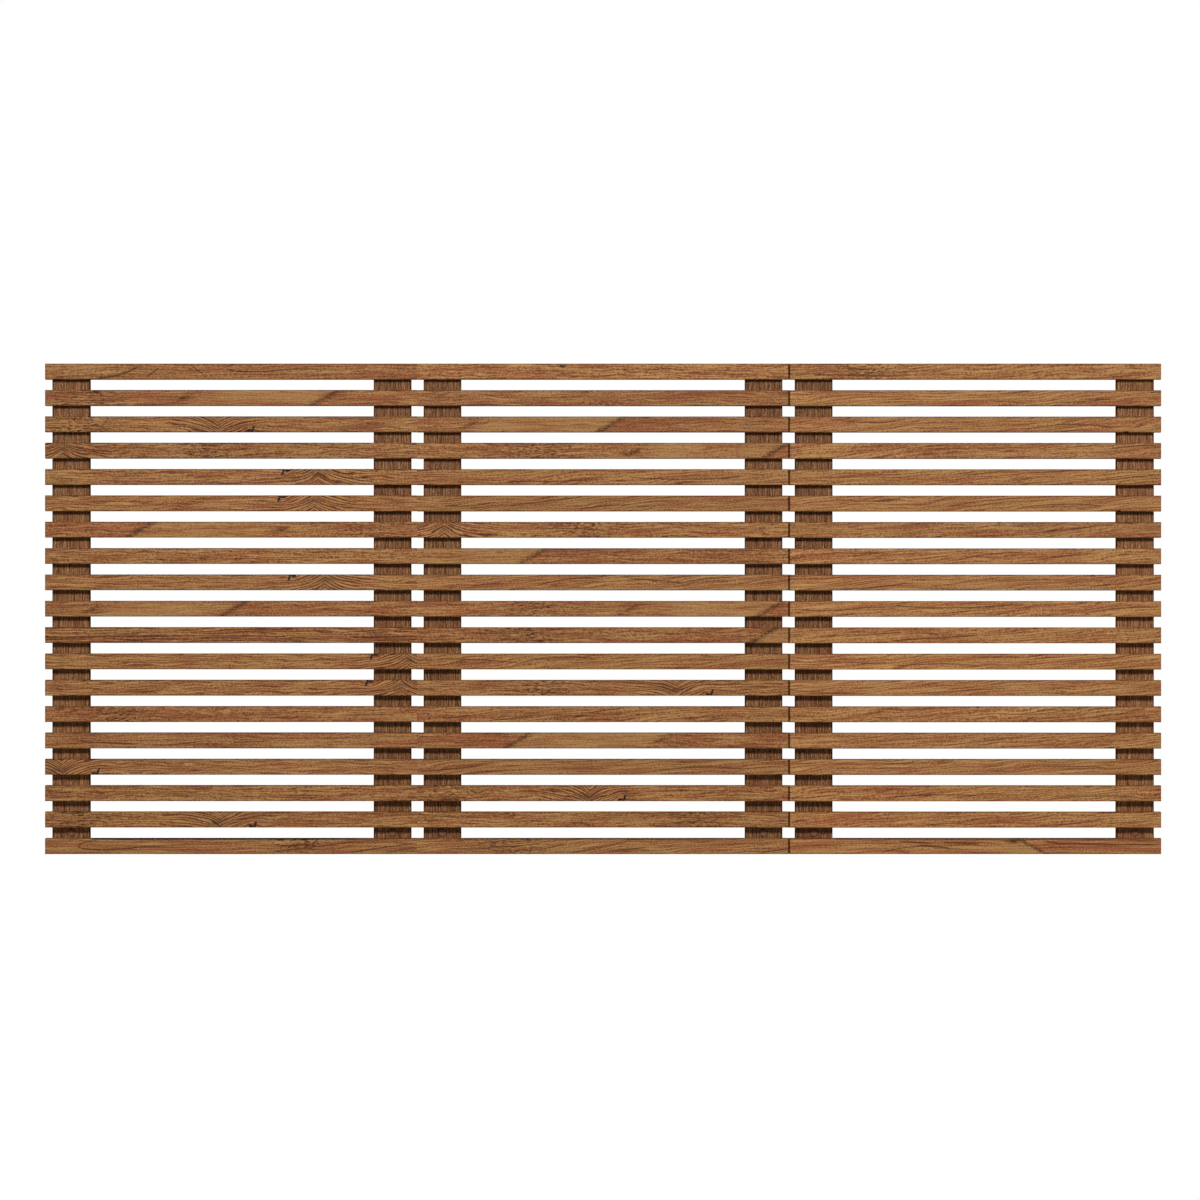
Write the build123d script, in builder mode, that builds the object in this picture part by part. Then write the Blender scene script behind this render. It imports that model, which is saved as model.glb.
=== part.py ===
from build123d import *
import math
import os

# A slatted headboard for a wide bed: three like panels that hang side by side on a wall. Each panel is a
# stack of level slats, screwed from behind to two upright stiles. A keyhole plate let into the back of
# each stile hangs it, and a wall screw under a cover cap pins its foot.
# Millimetres, +Z up. The wall is the plane y = 0 and the room lies towards -Y. The origin is on the wall,
# midway between the two lower wall screws of the middle panel.

# Panels
panel_names = ("left_panel", "middle_panel", "right_panel")
left_seam = 0.2
right_seam = 0.6

# Slats, with the long edges eased and the ends sawn square
slat_count = 19
slat_length = 693.0
slat_height = 29.5
slat_depth = 18.0
slat_gap = 19.64
slat_edge_round = 1.0
slat_end_ease = 0.4

# Slats set by hand drift this far from the even pitch, so neighbours step a little at the seams
placing_play = 0.4
placing_turn = 0.1
panel_turn = 5.5

# The top slats have a node each, and the rest share a node by twos
single_slats = 9
slats_in_group = 2

# Stiles, set in from the ends of the slats and a little shorter than the stack
stile_width = 70.0
stile_depth = 20.0
stile_inset = 11.5
stile_setback = 6.0
stile_edge_round = 1.5

# Countersunk wood screws that hold the slats, two at each crossing
slat_screw_length = 30.0
slat_screw_radius = 2.0
slat_screw_head_radius = 4.0
slat_screw_clearance = 0.25
slat_screw_sink = 0.5
slat_screw_tip_gap = 0.5
screw_column_gap = 5.5

# Keyhole plates, let in flush, each over a pocket that takes the head of a wall screw
plate_drop = 75.0
plate_width = 20.0
plate_length = 60.0
plate_thickness = 2.0
plate_corner = 4.0
plate_fit = 0.2
keyhole_entry_radius = 5.0
keyhole_slot_radius = 2.5
keyhole_rise = 14.0
pocket_margin = 1.0
pocket_depth = 8.0

# Countersunk screws that hold the keyhole plates, flush with them
plate_screw_length = 14.0
plate_screw_radius = 1.5
plate_screw_head_radius = 2.8
plate_screw_margin = 7.0
plate_screw_tip_gap = 0.5

# Every screw has a pointed end and a cross recess, in shares of its own radii
countersink_angle = 90.0
tip_share = 2.0
recess_span_share = 0.95
recess_slot_share = 0.28
recess_depth_share = 0.4

# Cover caps, each in the middle of the lowest gap, and the counterbored wall screw holes that they plug
wall_screw_hole_radius = 2.75
counterbore_depth = 9.0
cap_gap_margin = 2.82
cap_overlap = 1.0
cap_rim = 1.3
cap_crown = 2.4
cap_skirt_length = 5.0
cap_skirt_wall = 1.2

# Places that follow from the sizes
slat_pitch = slat_height + slat_gap
panel_height = slat_height + (slat_count - 1) * slat_pitch
panel_bottom = -(slat_height + slat_gap / 2)
panel_top = panel_bottom + panel_height
panel_places = (-(slat_length + left_seam), 0, slat_length + right_seam)
stile_spacing = slat_length - stile_width - 2 * stile_inset
stile_places = (("left_stile", -stile_spacing / 2), ("right_stile", stile_spacing / 2))
half_cone = math.radians(countersink_angle / 2)
slat_countersink_radius = slat_screw_head_radius + slat_screw_sink * math.tan(half_cone)
slat_screw_offset = plate_width / 2 + screw_column_gap + slat_countersink_radius
keyhole_entry_height = panel_top - plate_drop
plate_height = keyhole_entry_height + keyhole_rise / 2
plate_screw_offset = plate_length / 2 - plate_screw_margin
cap_radius = slat_gap / 2 - cap_gap_margin
counterbore_radius = cap_radius - cap_overlap


def slat_height_at(panel, row):
    """The height of a slat's middle. The outer slats keep to the panel's edges."""
    level = panel_top - slat_height / 2 - row * slat_pitch
    if row in (0, slat_count - 1):
        return level
    return level + placing_play * math.sin(placing_turn * row + panel_turn * panel)


def stile_centres(panel):
    """How far across each stile of a panel stands."""
    return [panel_places[panel] + offset for _, offset in stile_places]


def slat_screw_places(panel, row, centre):
    """Across and up, the places of the screws where one slat crosses one stile."""
    height = slat_height_at(panel, row)
    return [(centre + side * slat_screw_offset, height) for side in (-1, 1)]


def plate_screw_places(centre):
    """Across and up, the places of the screws that hold the keyhole plate of one stile."""
    return [(centre, plate_height + side * plate_screw_offset) for side in (-1, 1)]


def on_wall(x, z):
    """A place on the wall plane that faces the wall, to drill from the back."""
    return Location((x, 0, z), (-90, 0, 0))


def slat_groups():
    """The rows that share a node."""
    rows = list(range(slat_count))
    singles = [rows[row : row + 1] for row in range(single_slats)]
    shared = [rows[row : row + slats_in_group] for row in range(single_slats, slat_count, slats_in_group)]
    return singles + shared


# Slats: bars with blind holes in the back for their screws
def make_slats(panel, rows):
    back = Plane.XZ.offset(stile_depth)
    screws = [
        place
        for row in rows
        for centre in stile_centres(panel)
        for place in slat_screw_places(panel, row, centre)
    ]
    hole_depth = slat_screw_sink + slat_screw_length + slat_screw_tip_gap - stile_depth
    with BuildPart() as slats:
        with BuildSketch(back):
            with Locations(*[(panel_places[panel], slat_height_at(panel, row)) for row in rows]):
                Rectangle(slat_length, slat_height)
        extrude(amount=slat_depth)
        fillet(slats.edges().filter_by(Axis.X), slat_edge_round)
        ends = slats.faces().filter_by(Axis.X)
        chamfer(ends.edges(), slat_end_ease)
        with BuildSketch(back):
            with Locations(*screws):
                Circle(slat_screw_radius)
        extrude(amount=hole_depth, mode=Mode.SUBTRACT)
    return slats


# Stiles: uprights drilled for the slat screws, the keyhole plate and the lower wall screw
def make_stile(panel, centre):
    screws = [place for row in range(slat_count) for place in slat_screw_places(panel, row, centre)]
    with BuildPart() as stile:
        with BuildSketch(Plane.XZ):
            with Locations((centre, (panel_top + panel_bottom) / 2)):
                Rectangle(stile_width, panel_height - 2 * stile_setback)
        extrude(amount=stile_depth)
        fillet(stile.edges().filter_by(Axis.Z), stile_edge_round)
        with Locations(*[on_wall(x, z) for x, z in screws]):
            CounterSinkHole(
                slat_screw_radius + slat_screw_clearance,
                slat_countersink_radius,
                stile_depth,
                countersink_angle,
            )
        with BuildSketch(Plane.XZ):
            with Locations((centre, plate_height)):
                RectangleRounded(
                    plate_width + 2 * plate_fit, plate_length + 2 * plate_fit, plate_corner + plate_fit
                )
        extrude(amount=plate_thickness, mode=Mode.SUBTRACT)
        with BuildSketch(Plane.XZ.offset(plate_thickness)):
            with Locations((centre, plate_height)):
                SlotCenterToCenter(keyhole_rise, 2 * (keyhole_entry_radius + pocket_margin), rotation=90)
        extrude(amount=pocket_depth, mode=Mode.SUBTRACT)
        with BuildSketch(Plane.XZ.offset(plate_thickness)):
            with Locations(*plate_screw_places(centre)):
                Circle(plate_screw_radius)
        extrude(amount=plate_screw_length + plate_screw_tip_gap - plate_thickness, mode=Mode.SUBTRACT)
        with Locations(Location((centre, -stile_depth, 0), (90, 0, 0))):
            CounterBoreHole(wall_screw_hole_radius, counterbore_radius, counterbore_depth, stile_depth)
    return stile


# Keyhole plates: the head of a wall screw goes in below and the panel drops on to it
def make_keyhole_plates(panel):
    centres = stile_centres(panel)
    with BuildPart() as plates:
        with BuildSketch(Plane.XZ):
            with Locations(*[(centre, plate_height) for centre in centres]):
                RectangleRounded(plate_width, plate_length, plate_corner)
                SlotCenterToCenter(
                    keyhole_rise, 2 * keyhole_slot_radius, rotation=90, mode=Mode.SUBTRACT
                )
            with Locations(*[(centre, keyhole_entry_height) for centre in centres]):
                Circle(keyhole_entry_radius, mode=Mode.SUBTRACT)
        extrude(amount=plate_thickness)
        spots = [on_wall(x, z) for centre in centres for x, z in plate_screw_places(centre)]
        with Locations(*spots):
            CounterSinkHole(
                plate_screw_radius, plate_screw_head_radius, plate_thickness, countersink_angle
            )
    return plates


# Wood screws: the head's flat end lies on the wall plane, and the point is towards the room
def make_screw(length, radius, head_radius):
    cone_depth = (head_radius - radius) / math.tan(half_cone)
    with BuildPart() as screw:
        with BuildSketch(Plane.XY):
            with BuildLine():
                Polyline(
                    (0, 0),
                    (head_radius, 0),
                    (radius, -cone_depth),
                    (radius, -(length - tip_share * radius)),
                    (0, -length),
                    close=True,
                )
            make_face()
        revolve(axis=Axis.Y)
        with BuildSketch(Plane.XZ):
            for turn in (0, 90):
                Rectangle(
                    recess_span_share * head_radius, recess_slot_share * head_radius, rotation=turn
                )
        extrude(amount=recess_depth_share * head_radius, mode=Mode.SUBTRACT)
    return screw


def make_screw_group(screw, places, sink):
    with BuildPart() as group:
        with Locations(*[(x, -sink, z) for x, z in places]):
            add(screw.part)
    return group


# Cover caps: a domed head on a hollow skirt that plugs the counterbore
def make_cover_caps(panel):
    skirt_inside = counterbore_radius - cap_skirt_wall
    crown = (0, -(stile_depth + cap_crown))
    rim = (cap_radius, -(stile_depth + cap_rim))
    rise = cap_crown - cap_rim
    dome_radius = (cap_radius**2 + rise**2) / (2 * rise)
    with BuildPart() as cap:
        with BuildSketch(Plane.XY):
            with BuildLine():
                RadiusArc(rim, crown, dome_radius)
                Polyline(
                    rim,
                    (cap_radius, -stile_depth),
                    (counterbore_radius, -stile_depth),
                    (counterbore_radius, cap_skirt_length - stile_depth),
                    (skirt_inside, cap_skirt_length - stile_depth),
                    (skirt_inside, -stile_depth),
                    (0, -stile_depth),
                    crown,
                )
            make_face()
        revolve(axis=Axis.Y)
    with BuildPart() as caps:
        with Locations(*[(centre, 0, 0) for centre in stile_centres(panel)]):
            add(cap.part)
    return caps


def write(piece, name):
    piece.part.label = name
    export_step(piece.part, f"parts/{name}.step")


os.makedirs("parts", exist_ok=True)
slat_screw = make_screw(slat_screw_length, slat_screw_radius, slat_screw_head_radius)
plate_screw = make_screw(plate_screw_length, plate_screw_radius, plate_screw_head_radius)
for panel, panel_name in enumerate(panel_names):
    centres = stile_centres(panel)
    for rows in slat_groups():
        numbers = "_".join(f"{row + 1:02d}" for row in rows)
        word = "slat" if len(rows) == 1 else "slats"
        write(make_slats(panel, rows), f"{panel_name}_{word}_{numbers}")
    for (stile_name, _), centre in zip(stile_places, centres):
        write(make_stile(panel, centre), f"{panel_name}_{stile_name}")
    slat_screws = [
        place
        for row in range(slat_count)
        for centre in centres
        for place in slat_screw_places(panel, row, centre)
    ]
    write(make_screw_group(slat_screw, slat_screws, slat_screw_sink), f"{panel_name}_slat_screws")
    plate_screws = [place for centre in centres for place in plate_screw_places(centre)]
    write(make_keyhole_plates(panel), f"{panel_name}_keyhole_plates")
    write(make_screw_group(plate_screw, plate_screws, 0), f"{panel_name}_plate_screws")
    write(make_cover_caps(panel), f"{panel_name}_cover_caps")
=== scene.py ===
import math

import bpy
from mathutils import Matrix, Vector


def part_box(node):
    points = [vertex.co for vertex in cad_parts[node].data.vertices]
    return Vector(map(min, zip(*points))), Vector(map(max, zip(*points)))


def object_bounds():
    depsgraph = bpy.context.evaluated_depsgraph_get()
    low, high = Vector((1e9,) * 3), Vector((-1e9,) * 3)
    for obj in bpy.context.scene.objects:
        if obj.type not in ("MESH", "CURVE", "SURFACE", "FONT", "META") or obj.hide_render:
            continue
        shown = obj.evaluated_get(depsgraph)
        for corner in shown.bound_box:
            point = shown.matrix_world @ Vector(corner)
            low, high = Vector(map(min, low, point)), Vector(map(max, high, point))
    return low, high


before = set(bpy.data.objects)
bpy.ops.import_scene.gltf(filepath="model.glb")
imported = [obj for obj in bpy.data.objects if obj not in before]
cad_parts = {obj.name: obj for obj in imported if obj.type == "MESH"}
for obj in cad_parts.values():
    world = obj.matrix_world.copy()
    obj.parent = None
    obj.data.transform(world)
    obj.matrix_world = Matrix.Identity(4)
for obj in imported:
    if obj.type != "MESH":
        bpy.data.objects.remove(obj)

# The looks of a slatted headboard in walnut-look wood. Every piece is a node of model.glb, and gets a
# procedural finish here. Metres in the model, and millimetres inside the wood's own formulas.

cad_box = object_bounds()
MM = 1000.0

# The headboard, read from model.glb
PANELS = ("left_panel", "middle_panel", "right_panel")
low_corner, high_corner = cad_box
centre = Vector((low_corner[axis] + high_corner[axis]) / 2 for axis in range(3))

# One slat, in millimetres
slat_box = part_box("middle_panel_slat_01")
slat_length = (slat_box[1][0] - slat_box[0][0]) * MM
slat_height = (slat_box[1][2] - slat_box[0][2]) * MM
slat_front = slat_box[0][1] * MM
slat_back = slat_box[1][1] * MM
half_height = slat_height / 2

# The camera stands straight in front, a little left of and above the middle. The image spans so many metres
# at the headboard.
IMAGE_SPAN = 2.236
CAMERA_DISTANCE = 9.0
CAMERA_ASIDE = -0.0058
CAMERA_ABOVE = 0.0165
SENSOR_WIDTH = 36.0

# Lamps, from the middle of the headboard
KEY_PLACE = (0.0, -2.1, 0.97)
KEY_SIZE = (5.2, 0.40)
KEY_LEVEL = 1.38
BACK_PLACE = (0.0, 3.0, 1.3)
BACK_SIZE = (2.6, 1.2)
BACK_LEVEL = 0.55
WORLD_LEVEL = 0.12

# The floor, below the camera's view
FLOOR_DROP = 0.76
FLOOR_WIDTH = 5.0
FLOOR_FRONT = 2.6
FLOOR_BACK = 0.5
FLOOR_COLOUR = (0.82, 0.82, 0.81, 1.0)
FLOOR_ROUGHNESS = 0.9
FLOOR_WHITE_SHARE = 0.8

# The sockets of a colour Mix node
MIX_SHARE, MIX_FIRST, MIX_SECOND = 0, 6, 7
MIX_RESULT = 2


def srgb(red, green, blue):
    """A colour as a screen shows it, 0 to 255, in the linear values that a shader takes.

    The numbers are those of the standard formula.
    """
    def linear(value):
        value /= 255
        return value / 12.92 if value <= 0.04045 else ((value + 0.055) / 1.055) ** 2.4
    return (linear(red), linear(green), linear(blue), 1.0)


# Colours of the wood, its marks and the fittings, and of the backdrop
GOLDEN = srgb(166, 122, 74)
REDDISH = srgb(152, 92, 57)
STILE_GOLDEN = srgb(165, 124, 80)
STILE_REDDISH = srgb(152, 98, 65)
GLINT = srgb(200, 152, 118)
BROWN = srgb(88, 46, 19)
STREAK = srgb(68, 36, 16)
SMOKE = srgb(70, 52, 38)
KNOT = srgb(34, 22, 18)
SCREW_STEEL = srgb(205, 186, 138)
PLATE_STEEL = srgb(196, 199, 202)
CAP_DARK = srgb(138, 90, 60)
CAP_PALE = srgb(154, 102, 68)
WHITE = (1.0, 1.0, 1.0, 1.0)


def feed(tree, slot, value):
    """Gives a socket a field or a plain number or colour."""
    if isinstance(value, Field):
        tree.links.new(value.socket, slot)
    else:
        slot.default_value = value


class Field:
    """A number or a colour that changes over a surface, and that plain arithmetic works on."""

    def __init__(self, tree, socket):
        self.tree = tree
        self.socket = socket

    def math(self, operation, *others):
        node = self.tree.nodes.new("ShaderNodeMath")
        node.operation = operation
        for slot, value in zip(node.inputs, (self, *others)):
            feed(self.tree, slot, value)
        return Field(self.tree, node.outputs[0])

    def __add__(self, other):
        return self.math("ADD", other)

    __radd__ = __add__

    def __sub__(self, other):
        return self.math("SUBTRACT", other)

    def __rsub__(self, other):
        return (self * -1.0) + other

    def __mul__(self, other):
        return self.math("MULTIPLY", other)

    __rmul__ = __mul__

    def __truediv__(self, other):
        return self.math("DIVIDE", other)

    def __abs__(self):
        return self.math("ABSOLUTE")

    def most(self, other):
        return self.math("MAXIMUM", other)

    def least(self, other):
        return self.math("MINIMUM", other)

    def rise(self, low, high):
        """0 below low and 1 above high, smooth between. With low above high it falls instead."""
        node = self.tree.nodes.new("ShaderNodeMapRange")
        node.interpolation_type = "SMOOTHSTEP"
        for slot, value in zip(node.inputs, (self, low, high)):
            feed(self.tree, slot, value)
        return Field(self.tree, node.outputs[0])

    def bell(self, width):
        """1 where the field is zero, and falling off smoothly over width on both sides."""
        scaled = self / width
        return (scaled * scaled * -1.0).math("EXPONENT")

    def ripple(self):
        """A wave from -1 to 1 that comes back each time the field grows by 1."""
        return (self * (2 * math.pi)).math("SINE")

    def from_least(self, least):
        """A field from 0 to 1, squeezed to go from least to 1."""
        return self * (1.0 - least) + least


def noise(along, across, depth, detail=1.0, roughness=0.5):
    """Smooth noise from 0 to 1 with its middle at a half, at a place given in its own cells."""
    tree = along.tree
    place = tree.nodes.new("ShaderNodeCombineXYZ")
    for slot, value in zip(place.inputs, (along, across, depth)):
        feed(tree, slot, value)
    node = tree.nodes.new("ShaderNodeTexNoise")
    node.inputs["Scale"].default_value = 1.0
    node.inputs["Detail"].default_value = detail
    node.inputs["Roughness"].default_value = roughness
    tree.links.new(place.outputs[0], node.inputs["Vector"])
    return Field(tree, node.outputs[0])


def blend(share, first, second):
    """A colour between two colours or colour fields."""
    tree = share.tree
    node = tree.nodes.new("ShaderNodeMix")
    node.data_type = "RGBA"
    feed(tree, node.inputs[MIX_SHARE], share)
    feed(tree, node.inputs[MIX_FIRST], first)
    feed(tree, node.inputs[MIX_SECOND], second)
    return Field(tree, node.outputs[MIX_RESULT])


def shade(colour, level):
    """A colour field made lighter or darker by a field."""
    tree = colour.tree
    node = tree.nodes.new("ShaderNodeVectorMath")
    node.operation = "SCALE"
    feed(tree, node.inputs[0], colour)
    feed(tree, node.inputs["Scale"], level)
    return Field(tree, node.outputs[0])


def new_material(name):
    """A material with a bare tree, its shader and the place on the object in metres."""
    material = bpy.data.materials.new(name)
    material.use_nodes = True
    tree = material.node_tree
    shader = tree.nodes["Principled BSDF"]
    coordinates = tree.nodes.new("ShaderNodeTexCoord")
    split = tree.nodes.new("ShaderNodeSeparateXYZ")
    tree.links.new(coordinates.outputs["Object"], split.inputs[0])
    return material, tree, shader, [Field(tree, socket) for socket in split.outputs]


def set_surface(tree, shader, colour, roughness, height, depth):
    """Gives a shader its colour and roughness, and a relief from 0 to 1 that is depth metres deep."""
    tree.links.new(colour.socket, shader.inputs["Base Color"])
    tree.links.new(roughness.socket, shader.inputs["Roughness"])
    bump = tree.nodes.new("ShaderNodeBump")
    bump.inputs["Distance"].default_value = depth
    feed(tree, bump.inputs["Height"], height)
    tree.links.new(bump.outputs[0], shader.inputs["Normal"])


def dress(node, material):
    """Gives a node of model.glb its material."""
    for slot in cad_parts[node].material_slots:
        slot.material = material


# The wood's figure. One slat's strip runs along its length, and all places are in millimetres from the
# slat's left end and from its middle line. A turned strip is set the other way round, with up and down
# changed over, and only its curves are then placed from the slat's right end. A pair of values named edge,
# near, begin, end or fade holds where a field starts to change and where it is done.

# How each figure climbs, waves and is drawn out, how strong its ruling, its bands, its long lines and its
# short flecks are, and how golden it is
FIGURES = {
    "fine": dict(
        climb=0.0, wave=2.0, stretch=1.0, ruling=1.0,
        bands=0.35, lines=0.20, flecks=0.7, gold=0.60,
    ),
    "ruled": dict(
        climb=0.0, wave=1.0, stretch=1.6, ruling=1.6,
        bands=0.60, lines=0.60, flecks=0.5, gold=0.35,
    ),
    "flame": dict(
        climb=0.0, wave=2.5, stretch=1.0, ruling=1.0,
        bands=0.35, lines=0.20, flecks=0.6, gold=0.60,
    ),
    "patch": dict(
        climb=0.0, wave=3.5, stretch=1.2, ruling=0.8,
        bands=0.30, lines=0.20, flecks=0.4, gold=0.40,
    ),
    "wavy": dict(
        climb=0.07, wave=6.0, stretch=1.6, ruling=0.88,
        bands=0.25, lines=0.45, flecks=0.2, gold=0.60,
    ),
    "calm": dict(
        climb=0.01, wave=4.0, stretch=2.0, ruling=0.7,
        bands=0.35, lines=0.35, flecks=0.2, gold=0.50,
    ),
}
CURVE_WIDTH = 1.15


def curve(start, length, height, slope=0.0, bend=0.0, width=CURVE_WIDTH):
    """A thin dark line: where it starts, its length, its height and slope there, its bend and its width."""
    return dict(start=start, length=length, height=height, slope=slope, bend=bend, width=width)


def strip(figure, tone=0, turned=False, curves=(), top_shadow=0.0, **places):
    """What one slat's strip looks like.

    Its figure, how light its tone is, whether it is turned, its curves, and how dark the painted shadow along
    its upper edge is between the stiles. Its other marks are named with their place along the slat: a flame,
    a streak, flecks, a vee, a swirl, a crack, and a pip or a blot at the lower edge. A hook has its tip's
    place and height.
    """
    return dict(FIGURES[figure], tone=tone, turned=turned, curves=curves, top_shadow=top_shadow, places=places)


LEFT_STRIPS = (
    strip("calm", -1, hook=(338, 6.6), curves=(
        curve(95, 84, -12, bend=0.0033, width=2.3),
        curve(188, 27, -10, slope=0.5, bend=0.01, width=2.0),
        curve(272, 28, 11, slope=-0.7, width=1.5),
    )),
    strip("patch", -1, streak=521, flecks=80),
    strip("flame", 0, flame=322, flecks=70),
    strip("flame", -1, turned=True, flame=33, flecks=290),
    strip("flame", 0, turned=True, flame=509),
    strip("flame", 0, turned=True, flame=502),
    strip("patch", 0, turned=True, streak=179, flecks=605),
    strip("fine", 0),
    strip("flame", 0, turned=True, flame=521),
    strip("patch", -1, streak=351, vee=510),
    strip("ruled", -3),
    strip("flame", 0, turned=True, flame=674),
    strip("flame", 0, turned=True, flame=665),
    strip("patch", -1, flecks=130, swirl=340),
    strip("calm", -1, curves=(
        curve(60, 110, -1, slope=-0.08, bend=0.00035),
        curve(198, 92, -7.5, slope=-0.06, bend=0.0014),
        curve(350, 70, -4, slope=0.05),
    )),
    strip("flame", 0, flame=33),
    strip("fine", -1),
    strip("flame", -1, flame=326, flecks=60),
    strip("calm", -1, hook=(61, 0.5), flecks=470, top_shadow=0.92, curves=(
        curve(435, 65, 0, slope=0.05, bend=0.0003, width=1.8),
        curve(425, 155, -10, slope=0.1, bend=0.0002, width=1.2),
        curve(570, 120, -11.5, slope=0.17, bend=-0.0003, width=1.3),
        curve(635, 58, -12, slope=0.17, width=1.1),
    )),
)
MIDDLE_STRIPS = (
    strip("fine", 3, turned=True, blot=269),
    strip("patch", -2, swirl=344),
    strip("patch", -1, streak=361, vee=468),
    strip("patch", -1, streak=667, flecks=225),
    strip("wavy", 0, curves=(
        curve(170, 145, -7.5, slope=-0.03, bend=0.0003),
        curve(395, 215, 0, slope=-0.085, bend=0.00045),
    )),
    strip("wavy", -3, curves=(
        curve(50, 95, -4, slope=-0.09, bend=0.0017),
        curve(170, 140, -4.5, slope=0.13, bend=-0.0001),
        curve(300, 100, -10, slope=0.12, bend=-0.0004),
    )),
    strip("flame", 0, turned=True, flame=51, flecks=310),
    strip("patch", -2, streak=216, vee=380),
    strip("wavy", 0, curves=(
        curve(100, 60, -6.5, slope=0.11),
        curve(222, 120, -6, slope=0.3, bend=-0.0016),
        curve(395, 105, 7, slope=-0.03, bend=-0.0005),
        curve(500, 90, 1, slope=0.19, bend=-0.0011),
    )),
    strip("patch", 0, streak=658, flecks=225),
    strip("patch", -3, turned=True, streak=646, flecks=215),
    strip("wavy", -1, curves=(
        curve(40, 150, 5, bend=-0.00034),
        curve(188, 150, -3, slope=0.24, bend=-0.0013),
    )),
    strip("flame", -1, flame=484, flecks=235),
    strip("wavy", -1, curves=(
        curve(50, 50, -6.7, bend=0.002),
        curve(140, 90, -9.5, bend=0.0013),
        curve(320, 70, 3, slope=0.14),
    )),
    strip("patch", -1, turned=True, streak=190, vee=50),
    strip("wavy", -2, curves=(
        curve(5, 110, -8.5, slope=0.07, bend=0.0002),
        curve(452, 160, -7, slope=0.17, bend=-0.001),
    )),
    strip("flame", 0, flame=321, flecks=60),
    strip("fine", 0, flecks=515),
    strip("wavy", -1, flecks=165, top_shadow=0.5, curves=(
        curve(200, 78, -8.5, slope=0.05, bend=0.0016),
        curve(135, 70, -1.5, slope=0.02, bend=0.0003, width=1.5),
        curve(288, 110, -12, slope=0.2),
        curve(355, 75, -9.5, slope=0.1, width=0.9),
        curve(640, 53, -12, slope=0.15),
    )),
)
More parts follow.
